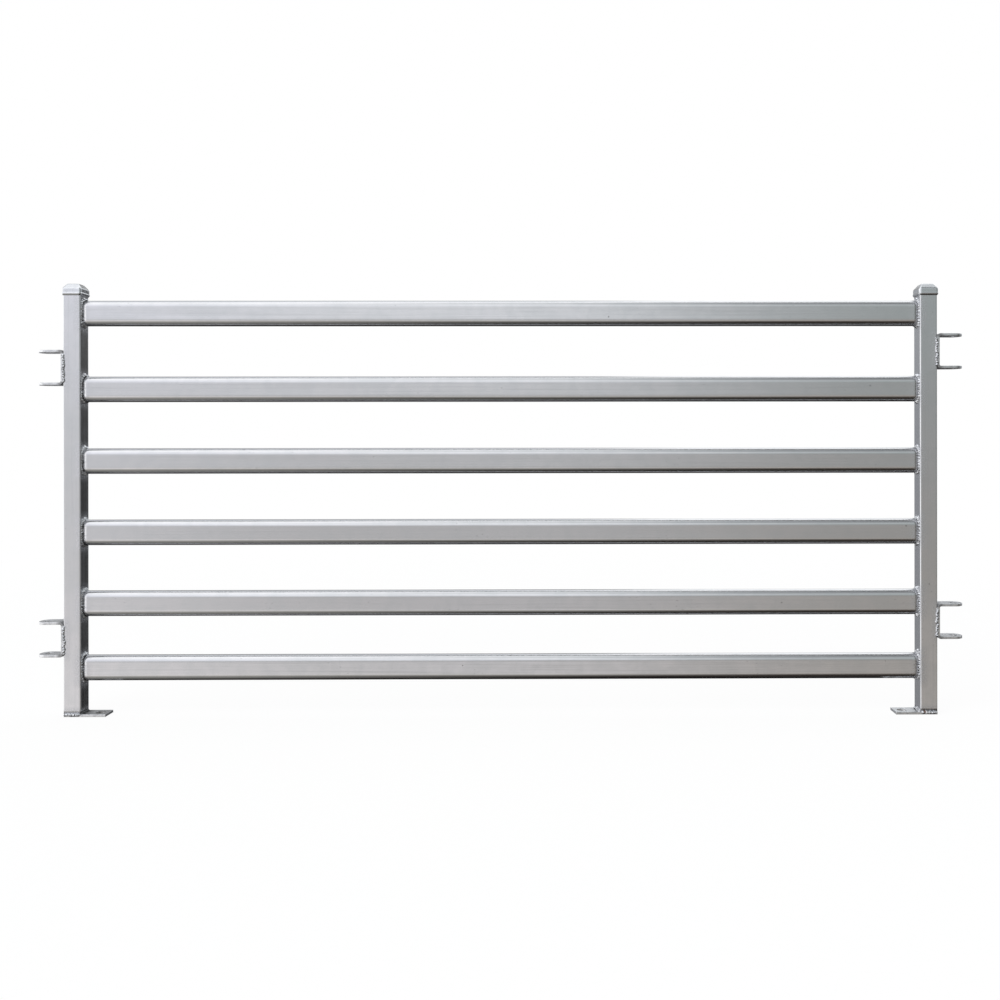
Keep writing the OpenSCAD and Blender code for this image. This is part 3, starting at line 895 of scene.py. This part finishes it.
def backBead(origins, across, outward, halfWidth, rise, length, seed, meander, burntSide):
    # a low bead that weaves along a flush joint: width = -cos(v half turns), rise = sin of the same
    look = beadLook
    s = np.linspace(0, length, len(origins))[:, None]
    v = np.linspace(0, 1, look["across"])[None, :]
    toeShare = softStep(v, 0.56, 0.8) if burntSide > 0 else softStep(v, 0.48, 0.25)
    swell, toe, slagAndShade = beadSkin(s, v, length, seed, toeShare, 1.0)
    taper = np.sqrt(np.clip(np.minimum(s, length - s) / look["endRound"], 0.02, 1))
    width = drift(s, length, seed + 7, 6) * meander - np.cos(math.pi * v) * halfWidth * toe * taper
    tall = np.power(np.sin(math.pi * v), 0.8) * rise * swell * taper - look["sink"] * np.abs(2 * v - 1) ** 6
    surface = origins[:, None] + across[:, None] * width[..., None] + outward[:, None] * tall[..., None]
    return withRoot(surface, origins - outward * look["backRoot"], slagAndShade)


def beadMesh(name, beads, side, nodes, rustAt=None):
    # beads are (rings, dark share of slag and painted shade, closed); an open one is closed by a fan at each
    # end
    allPoints, allQuads, allTriangles, allSlagAndShade, count = [], [], [], [], 0
    for rings, slagAndShade, closed in beads:
        if closed:
            points, quads = skinTube(rings)
            triangles = np.zeros((0, 3), int)
        else:
            points, quads, triangles = skinShell(rings)
        if volumeOf(points - points.mean(0), quads) < 0:
            quads, triangles = quads[:, ::-1], triangles[:, ::-1]
        allPoints.append(points)
        allQuads.append(quads + count)
        allTriangles.append(triangles + count)
        allSlagAndShade.append(np.concatenate([slagAndShade.ravel(), np.zeros(len(points) - slagAndShade.size)]))
        count += len(points)
    points = np.concatenate(allPoints)
    limit = min(-cadBox[0][1], cadBox[1][1]) / mm - hair
    points[:, 1] = np.clip(points[:, 1], -limit, limit)
    points[:, 2] = np.maximum(points[:, 2], beadLook["ground"])
    rust = np.zeros(len(points))
    if rustAt is not None:
        rust = 1 - softStep(np.linalg.norm(points - np.array(rustAt), axis=1), *beadLook["rustReach"])
    piece = putMesh(name, turned(points, side), np.concatenate(allQuads), np.concatenate(allTriangles),
                    weldMetal, [("slagAndShade", np.concatenate(allSlagAndShade)), ("rust", rust)])
    finishPiece(piece, "weld_bead", *nodes)


# Front: the share of its run and rise that a rail's bead keeps on the rail's flats. Swing: how uneven it is.
# The toe darkening on each post: soot on both, with painted shade making the left beads darker.
railWeld = {"run": 6.0, "rise": 4.5, "topBlob": 0.5, "blobWidth": 0.6, "frontRun": 0.5, "frontRise": 0.5,
            "swing": 0.12, "burnAndShade": {"left": 1.0, "right": 0.2}, "seed": 200}


def cornerSetback(y):  # how far the post's rounded corner lies behind its flat face
    radius = postLook["radius"]
    past = np.clip(np.abs(y) - (postHalf - radius), 0, radius - hair)
    return radius - np.sqrt(radius ** 2 - past ** 2)


def makeRailWeld(i, side):
    # a fillet that walks round the oval from the middle of its front: up, over, down and under
    look = railWeld
    radius, flat = railDepth / 2, railHeight - railDepth
    arc = math.pi * radius
    length = 2 * flat + 2 * arc
    s = np.linspace(0, length, int(length / beadLook["step"]), endpoint=False)
    ends = [s < flat / 2, s < flat / 2 + arc, s < 1.5 * flat + arc, s < 1.5 * flat + 2 * arc]
    angle = np.select(ends, [0 * s, (s - flat / 2) / radius, 0 * s + math.pi,
                             math.pi + (s - 1.5 * flat - arc) / radius], 2 * math.pi)
    centre = np.select(ends, [s, 0 * s + flat / 2, flat + arc - s, 0 * s - flat / 2], s - length)
    outward = np.stack([0 * s, -np.cos(angle), np.sin(angle)], -1)
    origins = np.stack([0 * s + postIn, -radius * np.cos(angle), centre + radius * np.sin(angle)], -1)
    straightUp = np.exp(-((angle - math.pi / 2) / look["blobWidth"]) ** 2)
    seed = look["seed"] + 10 * i + sides.index(side)
    swing = 1 + look["swing"] * drift(s, length, seed + 3, 7)
    steep = np.abs(np.sin(angle)) ** 1.5  # 0 on the rail's flats, where the post's corner leaves little room
    sizeA = look["run"] * swing * (look["frontRun"] + (1 - look["frontRun"]) * steep)
    sizeB = look["rise"] * swing * (look["frontRise"] + (1 - look["frontRise"]) * steep)
    sizeB = sizeB * (1 + look["topBlob"] * straightUp)
    inwards = np.broadcast_to(np.array([-1.0, 0, 0]), outward.shape)
    rings, slagAndShade = cornerBead(origins, inwards, outward, sizeA, sizeB, length, seed, True,
                                look["burnAndShade"][side])
    share = np.concatenate([np.linspace(0, 1, beadLook["across"]), [0.5]])[None, :]
    rings[..., 0] += cornerSetback(rings[..., 1]) * share
    rings[..., 2] += railMids[i - 1]
    if side == "left":
        rings[..., 1] *= -1  # so that the front of both ends starts the same way
    beadMesh(f"weld_rail_{i}_{side}_bead", [(rings, slagAndShade, True)], side, [f"weld_rail_{i}_{side}"])


lugWeld = {"halfWidth": 3.5, "rise": 2.9, "offset": -0.9, "meander": 1.5, "overrun": 4.0, "sunk": 0.4,
           "seed": 400}


def makeLugWeld(side, level):
    # two upright beads on the post's outer edge, in front of and behind the web
    look = lugWeld
    low, high = boxMm(f"weld_lug_{side}_{level}")
    bottom = low[2] - look["overrun"]  # it runs on a little into the lower bend
    length = high[2] - bottom
    z = np.linspace(bottom, high[2], int(length / beadLook["step"]))
    beads = []
    for k, front in enumerate((-1, 1)):
        y = front * (postHalf - look["sunk"])
        origins = np.stack([0 * z + postFace + look["offset"], 0 * z + y, z], -1)
        across = np.broadcast_to(np.array([1.0, 0, 0]), origins.shape)
        outward = np.broadcast_to(np.array([0, float(front), 0]), origins.shape)
        seed = look["seed"] + 20 * sides.index(side) + 8 * levels.index(level) + 3 * k
        rings, slagAndShade = backBead(origins, across, outward, look["halfWidth"], look["rise"], length, seed,
                                  look["meander"], 1)
        # painted shade: the bead turns dark where it runs on into the lower bend's hollow
        beads.append((rings, np.maximum(slagAndShade, softStep(rings[..., 2], low[2], bottom)), False))
    beadMesh(f"weld_lug_{side}_{level}_bead", beads, side, [f"weld_lug_{side}_{level}"])


footWeld = {"halfWidth": 3.7, "rise": 2.7, "middle": 5.0, "leg": 5.0, "meander": 0.5, "burnAndShade": 1.0,
            "sootAndShade": {"left": 0.85, "right": 0.1}, "endRound": 3.0, "seed": 500, "innerSeed": 560,
            "rust": (10, -1, 1)}


def makeFootWeld(side):
    # two low beads along the post's front and back and half round its corners, and a fillet on its inner face
    look = footWeld
    thick = footHigh[2] - footLow[2]  # the plate's
    radius = postLook["radius"]
    run, curl = postHalf - radius, radius * math.pi / 4
    length = 2 * run + 2 * curl
    s = np.linspace(-length / 2, length / 2, int(length / beadLook["step"]))
    angle = np.sign(s) * np.clip(np.abs(s) - run, 0, curl) / radius
    x, y = np.clip(s, -run, run) + radius * np.sin(angle), run + radius * np.cos(angle)
    beads = []
    for k, front in enumerate((-1, 1)):
        origins = np.stack([postMid + x, front * y, 0 * s + look["middle"]], -1)
        outward = np.stack([np.sin(angle), front * np.cos(angle), 0 * s], -1)
        across = np.broadcast_to(np.array([0, 0, 1.0]), origins.shape)
        rings, slagAndShade = backBead(origins, across, outward, look["halfWidth"], look["rise"], length,
                                  look["seed"] + 20 * sides.index(side) + 3 * k, look["meander"], -1)
        beads.append((rings, slagAndShade, False))
    y = np.linspace(-run, run, int(2 * run / beadLook["step"]))
    origins = np.stack([0 * y + postIn, y, 0 * y + thick], -1)
    legA = np.broadcast_to(np.array([-1.0, 0, 0]), origins.shape)
    legB = np.broadcast_to(np.array([0, 0, 1.0]), origins.shape)
    leg = look["leg"] * np.sqrt(np.clip((run - np.abs(y)) / look["endRound"], 0.05, 1))
    rings, slagAndShade = cornerBead(origins, legA, legB, leg, leg, 2 * run, look["innerSeed"] + sides.index(side),
                                False, look["burnAndShade"])
    # painted shade: the inner fillet is darkened, heavily on the left post and a little on the right
    beads.append((rings, np.maximum(slagAndShade, look["sootAndShade"][side]), False))
    rustAt = np.array([postIn, -postHalf, thick]) + look["rust"] if side == "right" else None
    beadMesh(f"weld_foot_{side}_bead", beads, side, [f"weld_foot_{side}"], rustAt)


for side in sides:
    for i in range(1, railCount + 1):
        makeRailWeld(i, side)
    for level in levels:
        makeLugWeld(side, level)
    makeFootWeld(side)
print("welds made")
